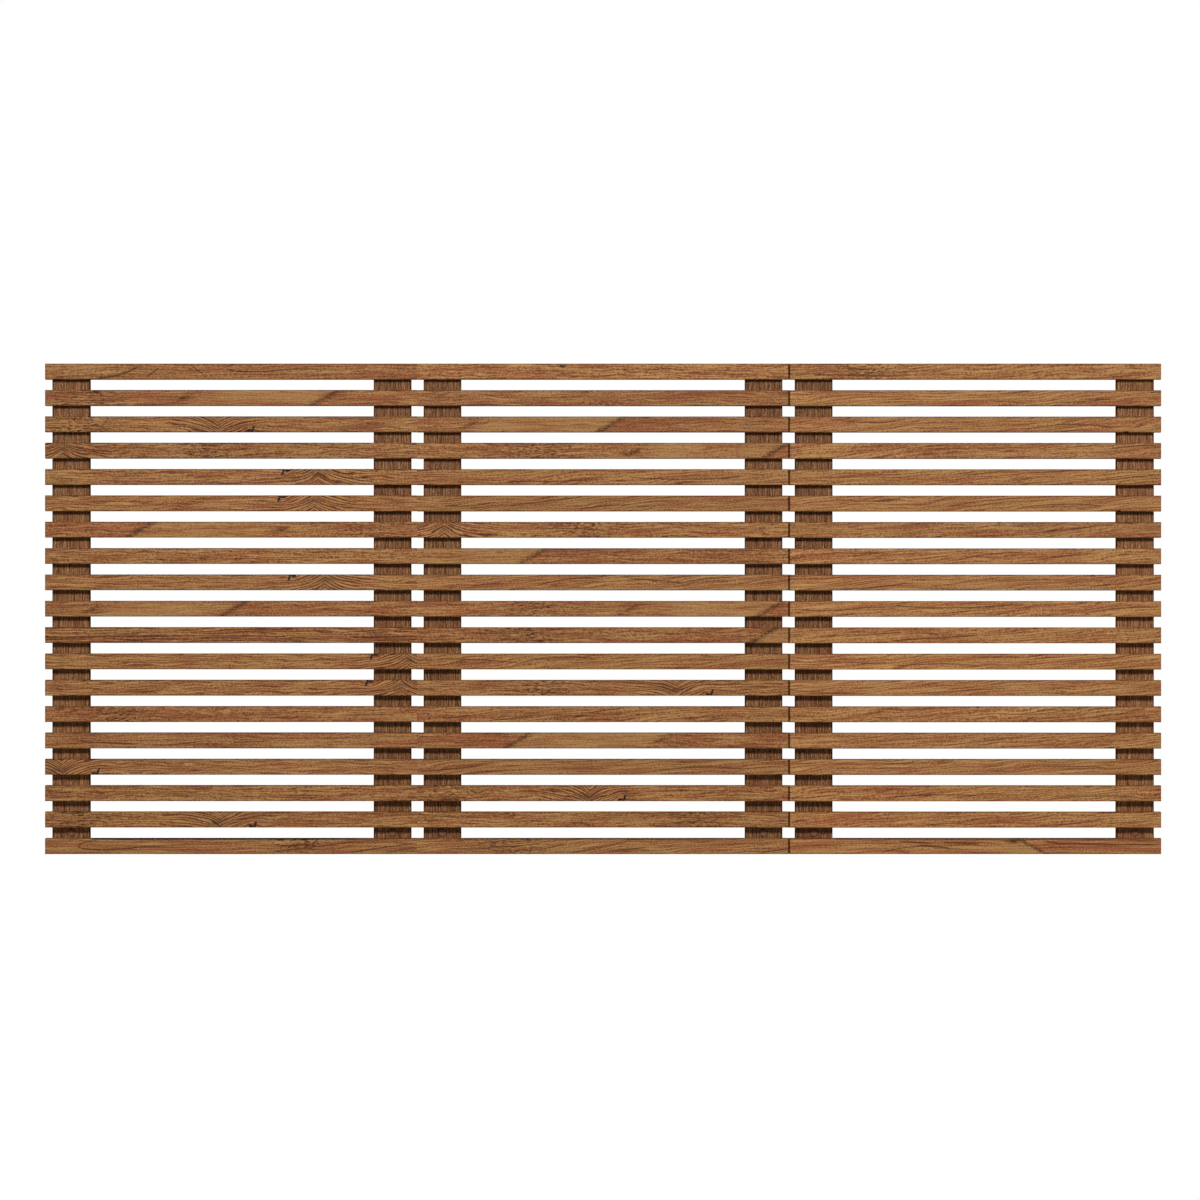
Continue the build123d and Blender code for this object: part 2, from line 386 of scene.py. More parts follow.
RIGHT_STRIPS = (
    strip("wavy", 3, flecks=150, curves=(
        curve(104, 48, 6.5, slope=-0.06, width=2.0),
        curve(48, 55, -6, width=1.5),
        curve(108, 95, -7.5, slope=-0.01, width=1.8),
        curve(5, 70, -9, slope=0.17, bend=-0.0009, width=1.0),
    )),
    strip("wavy", 3, curves=(
        curve(380, 60, -5.5, slope=-0.06, width=0.9),
        curve(495, 110, -9, slope=0.03, bend=0.0004, width=1.0),
    )),
    strip("wavy", 2, pip=628, curves=(
        curve(100, 115, 7, slope=-0.13, bend=0.0012, width=0.9),
        curve(440, 160, -9, slope=0.2, bend=-0.0011, width=1.0),
    )),
    strip("wavy", 2, curves=(
        curve(215, 85, 4, slope=0.09, width=0.9),
        curve(470, 110, 1, slope=0.1, width=0.8),
        curve(600, 90, 3, slope=0.2, bend=-0.0014, width=1.0),
    )),
    strip("wavy", 1, curves=(
        curve(325, 75, 3.5, slope=0.1, width=1.0),
        curve(580, 108, -7, slope=0.11, width=0.9),
    )),
    strip("wavy", 2, pip=614, curves=(
        curve(85, 125, 8, slope=-0.12, bend=0.0011, width=0.9),
        curve(425, 160, -9, slope=0.17, bend=-0.0009, width=1.0),
    )),
    strip("wavy", 0, turned=True, pip=391, curves=(
        curve(123, 100, -6, slope=0.09, width=0.9),
    )),
    strip("wavy", 4, curves=(
        curve(80, 90, 7.5, slope=-0.07, bend=0.0008, width=1.2),
        curve(215, 85, -9, slope=0.15, bend=-0.0004, width=0.8),
        curve(312, 125, -7, slope=0.24, bend=-0.001, width=1.0),
        curve(465, 110, -7, slope=0.19, bend=-0.0006, width=1.0),
    )),
    strip("wavy", 3, turned=True, pip=565, curves=(
        curve(473, 150, 1, slope=0.16, bend=-0.0006, width=1.0),
        curve(300, 110, -10, slope=0.14, width=0.8),
    )),
    strip("wavy", 5, curves=(
        curve(20, 140, -2, slope=-0.06, bend=0.0008, width=1.0),
        curve(195, 230, 6, slope=-0.075, bend=0.00038, width=1.1),
        curve(548, 145, -9, slope=0.2, bend=-0.0008, width=0.9),
    )),
    strip("wavy", 3, curves=(
        curve(105, 105, -2, slope=0.07, width=0.9),
        curve(190, 160, -10, slope=0.06, width=1.0),
    )),
    strip("wavy", 5, curves=(
        curve(50, 120, 2, slope=-0.05, width=0.8),
        curve(195, 160, -8, slope=0.085, bend=-0.0005, width=1.0),
    )),
    strip("wavy", 3, curves=(
        curve(0, 130, -4, slope=-0.08, bend=0.0002, width=0.9),
        curve(240, 170, -10, slope=0.06, width=0.9),
    )),
    strip("wavy", 3, turned=True, pip=351, curves=(
        curve(168, 140, -9, slope=0.19, bend=-0.001, width=0.9),
    )),
    strip("wavy", 4, curves=(
        curve(285, 120, -9.5, slope=0.13, bend=-0.0002, width=1.0),
        curve(360, 90, 2, slope=0.06, width=0.8),
    )),
    strip("wavy", 3, curves=(
        curve(0, 55, 7, slope=-0.02, width=1.0),
        curve(150, 110, 1, slope=0.13, bend=-0.0006, width=0.9),
        curve(470, 120, 1, slope=0.03, bend=-0.0004, width=0.9),
    )),
    strip("wavy", 4, curves=(
        curve(5, 90, -9, slope=0.02, bend=0.0008, width=0.9),
        curve(190, 160, -7, slope=0.09, bend=-0.00045, width=1.0),
        curve(495, 160, -9, slope=0.09, bend=-0.0005, width=0.9),
    )),
    strip("wavy", 5, curves=(
        curve(255, 90, -10, slope=0.15, bend=-0.0017, width=0.9),
        curve(455, 130, -11.5, slope=0.02, bend=0.0006, width=1.0),
        curve(595, 85, -7, slope=0.07, width=0.9),
    )),
    strip("calm", 3, crack=430, top_shadow=0.5, curves=(
        curve(205, 60, 8.5, slope=-0.04, width=2.0),
        curve(285, 70, 7.5, slope=-0.05, bend=0.0002, width=2.0),
        curve(240, 65, 1.5, slope=-0.03, bend=-0.0012, width=2.4),
        curve(172, 75, -12, slope=0.3, bend=-0.002, width=1.1),
        curve(476, 30, 9, slope=-0.14, width=2.0),
        curve(495, 190, 4.5, slope=-0.01, width=1.6),
    )),
)
STRIPS = dict(zip(PANELS, (LEFT_STRIPS, MIDDLE_STRIPS, RIGHT_STRIPS)))

# Seeds that keep the wood of any two pieces apart
SLAT_SEED_STEP = 17.3
SLAT_PANEL_SEED_STEP = 411.0
STILE_SEED = 71.0
STILE_SEED_STEP = 13.0
STILE_PANEL_SEED_STEP = 31.0

# The layers of noise that the wood is made of: how long a cell is along, across and, where the layer changes
# through the thickness too, in depth, a shift that keeps the layers apart, and between which two values the
# layer rises from 0 to 1, where it does
LAYERS = {
    "drift": dict(cell=(170.0, 45.0), shift=0.0),
    "tone": dict(cell=(80.0, 9.0), shift=3.1),
    "band": dict(cell=(70.0, 3.4, 6.0), shift=7.7, detail=0.0),
    "phase": dict(cell=(42.0, 9.0), shift=5.9, roughness=0.35),
    "swell": dict(cell=(22.0, 6.0), shift=6.7, detail=0.0, rise=(0.30, 0.62)),
    "comb": dict(cell=(24.0, 2.5, 3.0), shift=11.3, detail=0.0),
    "fibre": dict(cell=(8.0, 2.4, 3.0), shift=12.7, detail=0.0),
    "pore": dict(cell=(3.0, 2.3, 3.0), shift=13.9, detail=0.0),
    "wander": dict(cell=(60.0, 16.0), shift=5.3),
    "reach": dict(cell=(60.0, 4.0), shift=9.1, rise=(0.42, 0.60)),
    "streak": dict(cell=(45.0, 1.9, 3.0), shift=1.7, roughness=0.6, rise=(0.56, 0.72)),
    "crowd": dict(cell=(75.0, 8.0), shift=4.9, rise=(0.40, 0.62)),
    "fleck": dict(cell=(4.6, 1.8, 2.0), shift=2.3, rise=(0.54, 0.68)),
    "long fleck": dict(cell=(10.0, 1.9), shift=14.0, rise=(0.50, 0.64)),
    "smoke": dict(cell=(3.6, 2.4), shift=6.6, rise=(0.36, 0.60)),
    "knot": dict(cell=(3.0, 3.0), shift=7.2),
    "ragged": dict(cell=(7.0, 3.0), shift=8.0, detail=2.0, roughness=0.7),
    "crack": dict(cell=(5.0, 3.0), shift=8.0, detail=2.0, roughness=0.7),
    "mottle": dict(cell=(3.4, 2.0), shift=2.0, detail=2.0, roughness=0.6, rise=(0.30, 0.62)),
    "swirl": dict(cell=(11.0, 7.0), shift=12.0),
}
NOISE_MIDDLE = 0.5


def layer(name, seed, along, across, depth=None):
    """A layer of noise from the table, from 0 to 1."""
    look = LAYERS[name]
    cell = look["cell"]
    height = seed + look["shift"]
    if len(cell) > 2:
        height = depth / cell[2] + seed + look["shift"]
    fineness = {key: look[key] for key in ("detail", "roughness") if key in look}
    field = noise(along / cell[0], across / cell[1], height, **fineness)
    return field.rise(*look["rise"]) if "rise" in look else field


def swing(name, seed, along, across, depth=None):
    """A layer of noise with its middle at zero."""
    return layer(name, seed, along, across, depth) - NOISE_MIDDLE


# Soft round spots: where their middle is from the mark that they belong to, and how far they reach
SPOTS = {
    "smoke": dict(middle=(0.0, -4.5), reach=(17.0, 6.0)),
    "knot": dict(middle=(0.0, -11.6), reach=(5.6, 2.7)),
    "knot dot": dict(middle=(10.5, 2.5), reach=(3.0, 1.6)),
    "halo": dict(middle=(-3.0, -7.0), reach=(15.0, 7.0)),
    "glint": dict(middle=(0.5, -6.0), reach=(3.2, 2.0)),
    "smudge": dict(middle=(-261.0, -1.0), reach=(10.0, 8.0)),
    "crack blot": dict(middle=(-12.0, 9.0), reach=(15.0, 5.0)),
    "pip": dict(middle=(0.0, -14.6), reach=(5.0, 2.6)),
    "blot": dict(middle=(-7.0, -9.2), reach=(8.0, 3.2)),
}


def spot(name, along, across):
    """A soft round spot from the table, 1 at its middle, at a place given from its mark."""
    middle, reach = SPOTS[name]["middle"], SPOTS[name]["reach"]
    return (along - middle[0]).bell(reach[0]) * (across - middle[1]).bell(reach[1])


# The plain wood
WAVE_HEIGHT = 4.0
RULING_PITCH = 5.1
RULING_WANDER = 2.4
RULING_LEAST = 0.35
LINE_PITCH = 6.0
LINE_WANDER = 3.0
LINE_EDGE = (0.70, 1.0)
WEAVE_SHARES = dict(ruling=0.20, comb=0.25, fibre=0.15, pore=0.85)


def grain(along, across, depth, seed, look, near=0.0):
    """The plain wood: its tone, its broad bands, its fine weave, and its lines, streaks and flecks.

    Its ruling is at least as strong as near, which is 1 beside a flame.
    """
    wave = swing("drift", seed, along, across) * (look["wave"] * WAVE_HEIGHT)
    level = across - along * look["climb"] - wave
    drawn = along / look["stretch"]
    phase = layer("phase", seed, drawn, level) * RULING_WANDER
    swell = layer("swell", seed, along, level) + RULING_LEAST
    ruling = (level / RULING_PITCH + phase).ripple() * swell.most(near) * look["ruling"]
    weave = (
        ruling * WEAVE_SHARES["ruling"]
        + swing("comb", seed, drawn, level, depth) * WEAVE_SHARES["comb"]
        + swing("fibre", seed, along, level, depth) * WEAVE_SHARES["fibre"]
        + swing("pore", seed, along, level, depth) * WEAVE_SHARES["pore"]
    )
    wander = layer("wander", seed, drawn, level) * LINE_WANDER
    line = (level / LINE_PITCH + wander).ripple().rise(*LINE_EDGE) * layer("reach", seed, drawn, level)
    return dict(
        level=level,
        tone=swing("tone", seed, drawn, level),
        band=swing("band", seed, drawn, level, depth),
        ruling=ruling,
        weave=weave,
        line=line,
        streak=layer("streak", seed, drawn, level, depth),
        fleck=layer("fleck", seed, along, level, depth) * layer("crowd", seed, along, level),
    )


# A flame: its arcs and the rings beside it, the swelling round its knot, its smoke and the knot's tail
ARC_REACH = 32.0
ARC_RISE = 25.0
RINGS_NEAR = (135.0, 45.0)
RINGS_EDGE = (0.1, -0.8)
KNOT_ASIDE = 58.0
KNOT_SWELL_REACH = 14.0
KNOT_SWELL_EDGE = (8.0, -12.0)
KNOT_SWELL_LIFT = 5.0
KNOT_RAGGED = 7.0
KNOT_RAGGED_ACROSS_SHARE = 0.4
SMOKE_LEAN = 0.8
SMOKE_LEAST = 0.3
TAIL_ASIDE = 6.5
TAIL_FOOT = -12.0
TAIL_LEAN = 0.35
TAIL_WIDTH = 2.5
TAIL_EDGE = (1.0, -6.0)
TAIL_DARK = 0.9
KNOT_DOT_DARK = 0.5


def flame_marks(along, across, flame, seed):
    """A flame of nested arcs that open upward, and the knot at its right."""
    beside = abs(along - flame)
    lift = (1.0 - (beside * (-1.0 / ARC_REACH)).math("EXPONENT")) * ARC_RISE
    from_knot = along - (flame + KNOT_ASIDE)
    swell = from_knot.bell(KNOT_SWELL_REACH) * across.rise(*KNOT_SWELL_EDGE) * KNOT_SWELL_LIFT
    smoke = spot("smoke", along - flame - across * SMOKE_LEAN, across)
    smoke = smoke * layer("smoke", seed, along, across).from_least(SMOKE_LEAST)
    ragged = swing("knot", seed, along, across) * KNOT_RAGGED
    ragged_across = ragged * KNOT_RAGGED_ACROSS_SHARE
    body = spot("knot", from_knot + ragged, across + ragged_across)
    tail = from_knot - TAIL_ASIDE - (across - TAIL_FOOT) * TAIL_LEAN + ragged_across
    tail = tail.bell(TAIL_WIDTH) * across.rise(*TAIL_EDGE)
    return dict(
        bent=across - lift - swell,
        near=beside.rise(*RINGS_NEAR),
        smoke=smoke,
        knot=body.most(tail * TAIL_DARK).most(spot("knot dot", from_knot, across) * KNOT_DOT_DARK),
        halo=spot("halo", from_knot, across),
        glint=spot("glint", from_knot, across),
    )


# A patch: its streak, and where the golden wood before it and the red wood beyond it begin and end
PATCH_LEAN = 1.7
PATCH_RAGGED = 22.0
PATCH_WIDTH = 10.0
PATCH_LEAST = 0.35
PATCH_GOLD_BEGIN = (-264.0, -215.0)
PATCH_GOLD_END = (5.0, -5.0)
PATCH_RED_BEGIN = (-4.0, 8.0)
PATCH_RED_END = (280.0, 90.0)


def patch_marks(along, across, streak, seed):
    """A broad ragged streak that leans to the right, with golden wood and a smudge on its left."""
    lean = along - across * PATCH_LEAN + swing("ragged", seed, along, across) * PATCH_RAGGED - streak
    mottle = layer("mottle", seed, along, across).from_least(PATCH_LEAST)
    dark = lean.bell(PATCH_WIDTH).most(spot("smudge", lean, across)) * mottle
    golden = lean.rise(*PATCH_GOLD_BEGIN) * lean.rise(*PATCH_GOLD_END)
    red = lean.rise(*PATCH_RED_BEGIN) * (along - streak).rise(*PATCH_RED_END)
    return dark, golden, red


# The crack, and the golden wood before it
CRACK_LEAN = 1.9
CRACK_ASIDE = 22.0
CRACK_RAGGED = 28.0
CRACK_WIDTH = 6.5
CRACK_DARK = 0.85
CRACK_BLOT_RAGGED_SHARE = 0.5
CRACK_GOLD_BEGIN = (-125.0, -65.0)
CRACK_GOLD_END = (6.0, -6.0)
CRACK_GOLD_TOP = (4.0, -4.0)
CRACK_RED_BEGIN = (-6.0, 6.0)


def crack_side(along, across, crack):
    """How far a place is to the right of the crack, which leans to the left."""
    return along + across * CRACK_LEAN - crack - CRACK_ASIDE


def crack_wood(along, across, crack):
    """The golden wood before the crack and the red wood beyond it."""
    side = crack_side(along, across, crack)
    golden = side.rise(*CRACK_GOLD_END) * side.rise(*CRACK_GOLD_BEGIN) * across.rise(*CRACK_GOLD_TOP)
    return golden, side.rise(*CRACK_RED_BEGIN)


def crack_marks(along, across, crack, seed):
    """A dark blot at the upper edge, from which a ragged line falls to the right."""
    ragged = swing("crack", seed, along, across) * CRACK_RAGGED
    blot = spot("crack blot", along - crack + ragged * CRACK_BLOT_RAGGED_SHARE, across)
    line = (crack_side(along, across, crack) + ragged).bell(CRACK_WIDTH)
    return blot.most(line * CRACK_DARK)


# A hook: how its two arms open, how thick they are and where they fade
HOOK_BEGIN = (-1.5, 1.0)
HOOK_UPPER_OPENING = 1.8
HOOK_UPPER_WIDTH = 1.3
HOOK_UPPER_FADE = (60.0, 10.0)
HOOK_LOWER_OPENING = 1.6
HOOK_LOWER_CLOSING = 0.012
HOOK_LOWER_TOP = -2.0
HOOK_LOWER_WIDTH = 1.2
HOOK_LOWER_FADE = (260.0, 120.0)


def hook_marks(along, across, hook):
    """A thin dark line that comes back on itself, with a short upper and a long lower arm."""
    tip_along, tip_across = hook
    height = across - tip_across
    from_tip = along - tip_along
    run = from_tip.most(0.0)
    spread = run.math("SQRT")
    upper = (height - spread * HOOK_UPPER_OPENING).bell(HOOK_UPPER_WIDTH) * run.rise(*HOOK_UPPER_FADE)
    path = (run * spread * HOOK_LOWER_CLOSING - spread * HOOK_LOWER_OPENING).least(HOOK_LOWER_TOP)
    lower = (height - path).bell(HOOK_LOWER_WIDTH) * run.rise(*HOOK_LOWER_FADE)
    return upper.most(lower) * from_tip.rise(*HOOK_BEGIN)


# The other marks
CURVE_BEGIN = (-8.0, 8.0)
CURVE_FADE = (8.0, -12.0)
CURVE_DARK = 0.9
VEE_SLOPE = 0.16
VEE_FADE = (75.0, 30.0)
VEE_LINES = (dict(height=-1.0, width=0.9), dict(height=6.0, width=0.8))
VEE_UPPER_SHARE = 0.6
VEE_DARK = 0.6
FLECKS_REACH = 80.0
SWIRL_REACH = 45.0
SWIRL_LIFT = 18.0
BLOT_LEAN = 0.6


def curve_marks(along, across, shape):
    """A thin dark line that rises or falls along a parabola."""
    run = along - shape["start"]
    past_end = run - shape["length"]
    path = across - shape["height"] - run * shape["slope"] - run * run * shape["bend"]
    return path.bell(shape["width"]) * run.rise(*CURVE_BEGIN) * past_end.rise(*CURVE_FADE)


def vee_marks(along, across, vee):
    """Two thin lines, one above the other, that dip to a point."""
    beside = abs(along - vee)
    above = across - beside * VEE_SLOPE
    lower, upper = ((above - line["height"]).bell(line["width"]) for line in VEE_LINES)
    return lower.most(upper * VEE_UPPER_SHARE) * beside.rise(*VEE_FADE)


def placed_marks(along, across, level, seed, look):
    """The marks that a strip has in places of its own, besides its figure."""
    places = look["places"]
    marks = [curve_marks(along, across, shape) * CURVE_DARK for shape in look["curves"]]
    if "flecks" in places:
        zone = (along - places["flecks"]).bell(FLECKS_REACH)
        marks.append(layer("long fleck", seed, along, level) * zone)
    if "hook" in places:
        marks.append(hook_marks(along, across, places["hook"]))
    if "vee" in places:
        marks.append(vee_marks(along, across, places["vee"]) * VEE_DARK)
    if "crack" in places:
        marks.append(crack_marks(along, across, places["crack"], seed))
    return marks


# How much the layers and the wood beside a mark add to its gold, or below zero to its red
GOLD = dict(
    tone=3.1, weave=1.6, halo=-0.6, rings=-0.9,
    patch=0.45, beyond_patch=-0.30, crack=0.6, beyond_crack=-0.3,
)
GOLD_EDGE = (-0.25, 1.25)

# How dark the layers and marks are
BAND_EDGE = (0.06, -0.26)
WEAVE_EDGE = (0.10, -0.50)
WEAVE_DARK = 0.5
STREAK_DARK = 0.42
RINGS_DARK = 0.5
PATCH_DARK = 0.85
BLOT_DARK = 0.75
SMOKE_DARK = 0.7
GLINT_SHARE = 0.35
MARKS_EDGE = (0.0, 1.15)
KNOT_EDGE = (0.20, 0.75)

# How calm golden wood is, and how much of its weave calm wood loses
CALM_SHARE = 0.6
CALM_WEAVE_LOSS = 0.5

# How much the layers add to the wood's brightness and to its relief
TONE_STEP = 0.035
TONE_LIGHT = 0.28
WEAVE_LIGHT = 0.6
RELIEF_MIDDLE = 0.6
WEAVE_RELIEF = 0.5
SLAT_MARK_RELIEF = 0.4


def relief(weave, marks, mark_depth):
    """The height of the wood, with its marks sunk in."""
    return weave * WEAVE_RELIEF + RELIEF_MIDDLE - marks * mark_depth


def wood(along, across, depth, seed, look):
    """The colour and the height of one strip."""
    places = look["places"]
    bent = across
    flame = knot = None
    marks = gold = calm = near = 0.0
    if "flame" in places:
        flame = flame_marks(along, across, places["flame"], seed)
        bent, near, knot = flame["bent"], flame["near"], flame["knot"]
        gold = flame["halo"] * GOLD["halo"]
    if "streak" in places:
        dark, golden, red = patch_marks(along, across, places["streak"], seed)
        marks = dark * PATCH_DARK
        gold = golden * GOLD["patch"] + red * GOLD["beyond_patch"]
        calm = golden * CALM_SHARE
    if "crack" in places:
        golden, red = crack_wood(along, across, places["crack"])
        gold = golden * GOLD["crack"] + red * GOLD["beyond_crack"]
        calm = golden * CALM_SHARE
    if "swirl" in places:
        swirl = (along - places["swirl"]).bell(SWIRL_REACH)
        bent = bent - swing("swirl", seed, along, across) * swirl * SWIRL_LIFT
    if "pip" in places:
        knot = spot("pip", along - places["pip"], across)
    if "blot" in places:
        knot = spot("blot", along + across * BLOT_LEAN - places["blot"], across) * BLOT_DARK

    cells = grain(along, bent, depth, seed, look, near)
    if flame:
        rings = cells["ruling"].rise(*RINGS_EDGE) * near
        marks = rings * RINGS_DARK + marks
        gold = rings * GOLD["rings"] + gold
    plain = 1.0 - calm
    weave = cells["weave"] * (1.0 - calm * CALM_WEAVE_LOSS)
    gold = gold + cells["tone"] * GOLD["tone"] + weave * GOLD["weave"] + look["gold"]
    lines = cells["line"] * look["lines"] + cells["streak"] * STREAK_DARK + cells["fleck"] * look["flecks"]
    marks = lines * plain + marks
    for mark in placed_marks(along, across, cells["level"], seed, look):
        marks = marks.most(mark)

    colour = blend(gold.rise(*GOLD_EDGE), REDDISH, GOLDEN)
    dark = cells["band"].rise(*BAND_EDGE) * plain * look["bands"] + weave.rise(*WEAVE_EDGE) * WEAVE_DARK
    colour = blend(dark, colour, BROWN)
    colour = blend(marks.rise(*MARKS_EDGE), colour, STREAK)
    if flame:
        colour = blend(flame["smoke"] * SMOKE_DARK, colour, SMOKE)
        colour = blend(flame["glint"] * GLINT_SHARE, colour, GLINT)
    if knot:
        colour = blend(knot.rise(*KNOT_EDGE), colour, KNOT)
    level = weave * WEAVE_LIGHT + cells["tone"] * TONE_LIGHT + (1.0 + TONE_STEP * look["tone"])
    return shade(colour, level), relief(weave, marks, SLAT_MARK_RELIEF)


# A slat's painted shade along its long edges, on its narrow faces, which lie in the shade between the slats,
# and at its ends, in millimetres from its own edges
SLAT_EDGE = (2.2, 1.0)
SLAT_EDGE_PAINTED_SHADE = 0.36
SLAT_FLANK_BEGIN = (0.6, 1.6)
SLAT_FLANK_END = (0.3, 0.8)
SLAT_FLANK_PAINTED_SHADE = 0.5
SLAT_END = (2.2, 1.2)

# How dark the last of a panel's slats is at their left and right ends, as painted shade, most of all in the
# seam between the middle and right panels. Below zero it is lighter, as a painted highlight.
END_PAINTED_SHADE_AND_HIGHLIGHT = {
    "left_panel": (0.25, -0.12),
    "middle_panel": (-0.12, 0.72),
    "right_panel": (0.72, 0.10),
}

# The painted shadow along the upper edge of the lowest slats, between the stiles: its two ends, its height
# and its depth
TOP_SHADOW_BEGIN = (86.0, 88.0)
TOP_SHADOW_FADE = (620.0, 560.0)
TOP_SHADOW_EDGE = (3.0, 1.8)
TOP_SHADOW_DEPTH = (8.0, 3.0)


def border(along, across, depth, ends, top_shadow):
    """How bright painted shade and highlights leave a slat at its edges, narrow faces and ends, from 0 to 1.
    """
    inside = half_height - abs(across)
    from_front = depth - slat_front
    # Painted shade along the rounded long edges
    edge = inside.rise(*SLAT_EDGE) * SLAT_EDGE_PAINTED_SHADE
    # Painted shade on the narrow faces, which lie in the shade between the slats
    painted_flank_shade = from_front.rise(*SLAT_FLANK_BEGIN) * (slat_back - depth).rise(*SLAT_FLANK_END) * SLAT_FLANK_PAINTED_SHADE
    # Painted shade at the slat's ends, or a painted highlight where the value is below zero
    left = along.rise(*SLAT_END) * ends[0]
    right = (slat_length - along).rise(*SLAT_END) * ends[1]
    bright = (1.0 - edge.most(painted_flank_shade)) * (1.0 - left) * (1.0 - right)
    # Painted shadow along the upper edge of the lowest slats, between the stiles
    if top_shadow:
        between = along.rise(*TOP_SHADOW_BEGIN) * along.rise(*TOP_SHADOW_FADE)
        upper = (half_height - across).rise(*TOP_SHADOW_EDGE)
        bright = bright * (1.0 - upper * between * from_front.rise(*TOP_SHADOW_DEPTH) * top_shadow)
    return bright


# The wood's surface: its roughness, how much smoother its high parts are, its relief in metres and its shine
WOOD_ROUGHNESS = 0.72
SLAT_SHEEN = 0.14
STILE_SHEEN = 0.12
WOOD_RELIEF = 0.00025
WOOD_SHINE = 0.12
SHINE_EDGE = (0.80, 0.98)


def finish_wood(tree, shader, colour, height, sheen, bright):
    """Gives a shader the wood's surface. It has no shine where painted shade darkens it at its edges."""
    set_surface(tree, shader, colour, WOOD_ROUGHNESS - height * sheen, height, WOOD_RELIEF)
    shine = bright.rise(*SHINE_EDGE) * WOOD_SHINE
    tree.links.new(shine.socket, shader.inputs["Specular IOR Level"])


def strip_fields(place, box, row_middle, look, ends, seed):
    """The colour, height and edge brightness of one slat, with its strip set either way round."""
    x, y, z = place
    along = (x - box[0][0]) * MM
    across = (z - row_middle) * MM
    depth = y * MM
    bright = border(along, across, depth, ends, look["top_shadow"])
    if look["turned"]:
        along = slat_length - along
        across = across * -1.0
        look = dict(look, places={mark: slat_length - start for mark, start in look["places"].items()})
    colour, height = wood(along, across, depth, seed, look)
    return shade(colour, bright), height, bright


# How much lighter each slat is than the one above it, in steps of tone, as painted light that makes up for
# its being farther from the lamp, and the row that keeps the tone of its strip
ROW_PAINTED_LIGHT = 0.19
MIDDLE_ROW = 9


def slat_material(node, panel, rows):
    """The finish of a node of one slat, or of two slats one above the other."""
    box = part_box(node)
    material, tree, shader, place = new_material(node)
    middles = (box[1][2] - half_height / MM, box[0][2] + half_height / MM)
    results = []
    for row, middle in zip(rows, middles):
        look = dict(STRIPS[panel][row])
        # Painted light: each lower row is made lighter, against the lamp's fall-off
        look["tone"] += ROW_PAINTED_LIGHT * (row - MIDDLE_ROW)
        seed = SLAT_SEED_STEP * (row + 1) + SLAT_PANEL_SEED_STEP * PANELS.index(panel)
        results.append(strip_fields(place, box, middle, look, END_PAINTED_SHADE_AND_HIGHLIGHT[panel], seed))
    colour, height, bright = results[0]
    if len(rows) > 1:
        upper = place[2].math("GREATER_THAN", (box[0][2] + box[1][2]) / 2)
        lower_colour, lower_height, lower_bright = results[1]
        colour = blend(upper, lower_colour, colour)
        height = height * upper + lower_height * (1.0 - upper)
        bright = bright * upper + lower_bright * (1.0 - upper)
    finish_wood(tree, shader, colour, height, SLAT_SHEEN, bright)
    return material


# The stiles: their own grain, painted shade along their edges, and painted light that makes them brighter
# at the foot than at the top, against the lamp's fall-off
STILE_CLIMB = 0.004
STILE_GOLD = dict(tone=1.6, weave=1.2, base=0.30)
STILE_DARK = dict(band=0.5, stripe=0.5, streak=0.6, fleck=0.4)
STILE_BAND_EDGE = (0.08, -0.26)
STILE_MARKS_EDGE = (0.0, 1.2)
STILE_MARK_RELIEF = 0.3
STRIPE_PITCH = 4.9
STRIPE_WANDER = 2.0
STRIPE_CELL = 9.0
STRIPE_CELLS_PER_METRE = 30.0
STRIPE_SHIFT = 21.0
STRIPE_EDGE = (0.1, 1.0)
STILE_EDGE = (2.6, 1.2)
STILE_EDGE_PAINTED_SHADE = 0.55
STILE_PAINTED_LIGHT_PER_METRE = 0.28

# How bright each panel's left and right stile is drawn, the outer stiles lighter than the inner ones
STILE_LEVELS = {
    "left_panel": (0.92, 0.78),
    "middle_panel": (0.76, 0.77),
    "right_panel": (0.72, 1.01),
}


def stile_material(node, seed, level):
    """The finish of an upright stile: the same wood, plainer and darker, with its grain upright."""
    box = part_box(node)
    material, tree, shader, (x, y, z) = new_material(node)
    half_width = (box[1][0] - box[0][0]) / 2 * MM
    across = (x - (box[0][0] + box[1][0]) / 2) * MM
    cells = grain((z - box[0][2]) * MM, across, y * MM, seed, dict(FIGURES["fine"], climb=STILE_CLIMB))
    gold = cells["tone"] * STILE_GOLD["tone"] + cells["weave"] * STILE_GOLD["weave"] + STILE_GOLD["base"]
    wander = noise(across / STRIPE_CELL, z * STRIPE_CELLS_PER_METRE, seed + STRIPE_SHIFT) * STRIPE_WANDER
    stripe = (across / STRIPE_PITCH + wander).ripple().rise(*STRIPE_EDGE)
    marks = (
        stripe * STILE_DARK["stripe"]
        + cells["streak"] * STILE_DARK["streak"]
        + cells["fleck"] * STILE_DARK["fleck"]
    )
    colour = blend(gold.rise(*GOLD_EDGE), STILE_REDDISH, STILE_GOLDEN)
    colour = blend(cells["band"].rise(*STILE_BAND_EDGE) * STILE_DARK["band"], colour, BROWN)
    colour = blend(marks.rise(*STILE_MARKS_EDGE), colour, STREAK)
    # Painted shade along the stile's two long edges
    bright = 1.0 - (half_width - abs(across)).rise(*STILE_EDGE) * STILE_EDGE_PAINTED_SHADE
    # Painted light: brighter towards the foot, against the lamp's fall-off
    painted_foot_light = (centre.z - z) * STILE_PAINTED_LIGHT_PER_METRE + 1.0
    colour = shade(colour, (cells["weave"] + level) * painted_foot_light * bright)
    height = relief(cells["weave"], marks, STILE_MARK_RELIEF)
    finish_wood(tree, shader, colour, height, STILE_SHEEN, bright)
    return material


